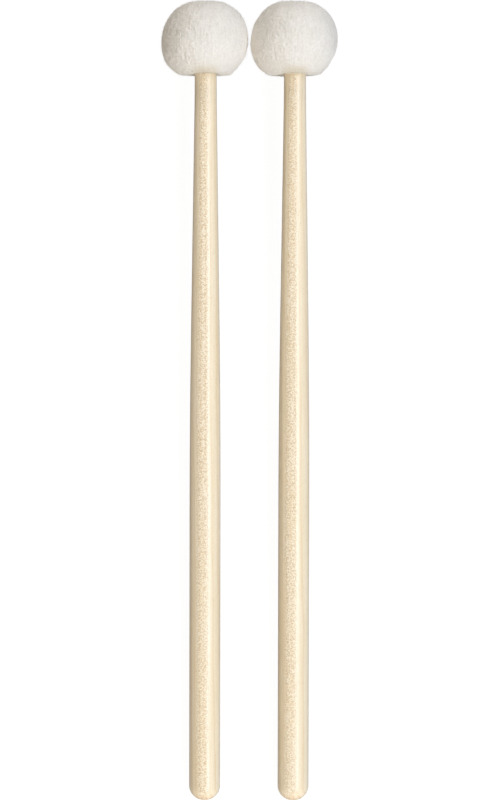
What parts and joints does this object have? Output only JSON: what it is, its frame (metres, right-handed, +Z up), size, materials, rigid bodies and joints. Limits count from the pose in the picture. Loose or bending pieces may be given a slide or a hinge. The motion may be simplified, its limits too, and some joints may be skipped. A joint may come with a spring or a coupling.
{
  "type": "percussion mallet",
  "caption": "Felt-headed percussion mallets with turned maple handles that taper to a slim neck, lying side by side, for striking tuned bars or drums.",
  "frame": {"origin": "centre of the whole pair's box, at the level of the surface the mallets lie on", "axes": "+Y from the butts to the heads, +X from the left mallet to the right one as pictured, +Z up from the surface"},
  "size_m": [0.0806, 0.368, 0.0397],
  "materials": {
    "maple": "satin",
    "core_wood": "matte",
    "underfelt": "matte",
    "cover_felt": "matte",
    "draw_thread": "matte"
  },
  "bodies": {
    "root": {"left_shaft": "maple", "left_core": "core_wood", "left_underfelt": "underfelt", "left_cover": "cover_felt", "left_draw_thread": "draw_thread", "right_shaft": "maple", "right_core": "core_wood", "right_underfelt": "underfelt", "right_cover": "cover_felt", "right_draw_thread": "draw_thread"}
  },
  "joints": []
}
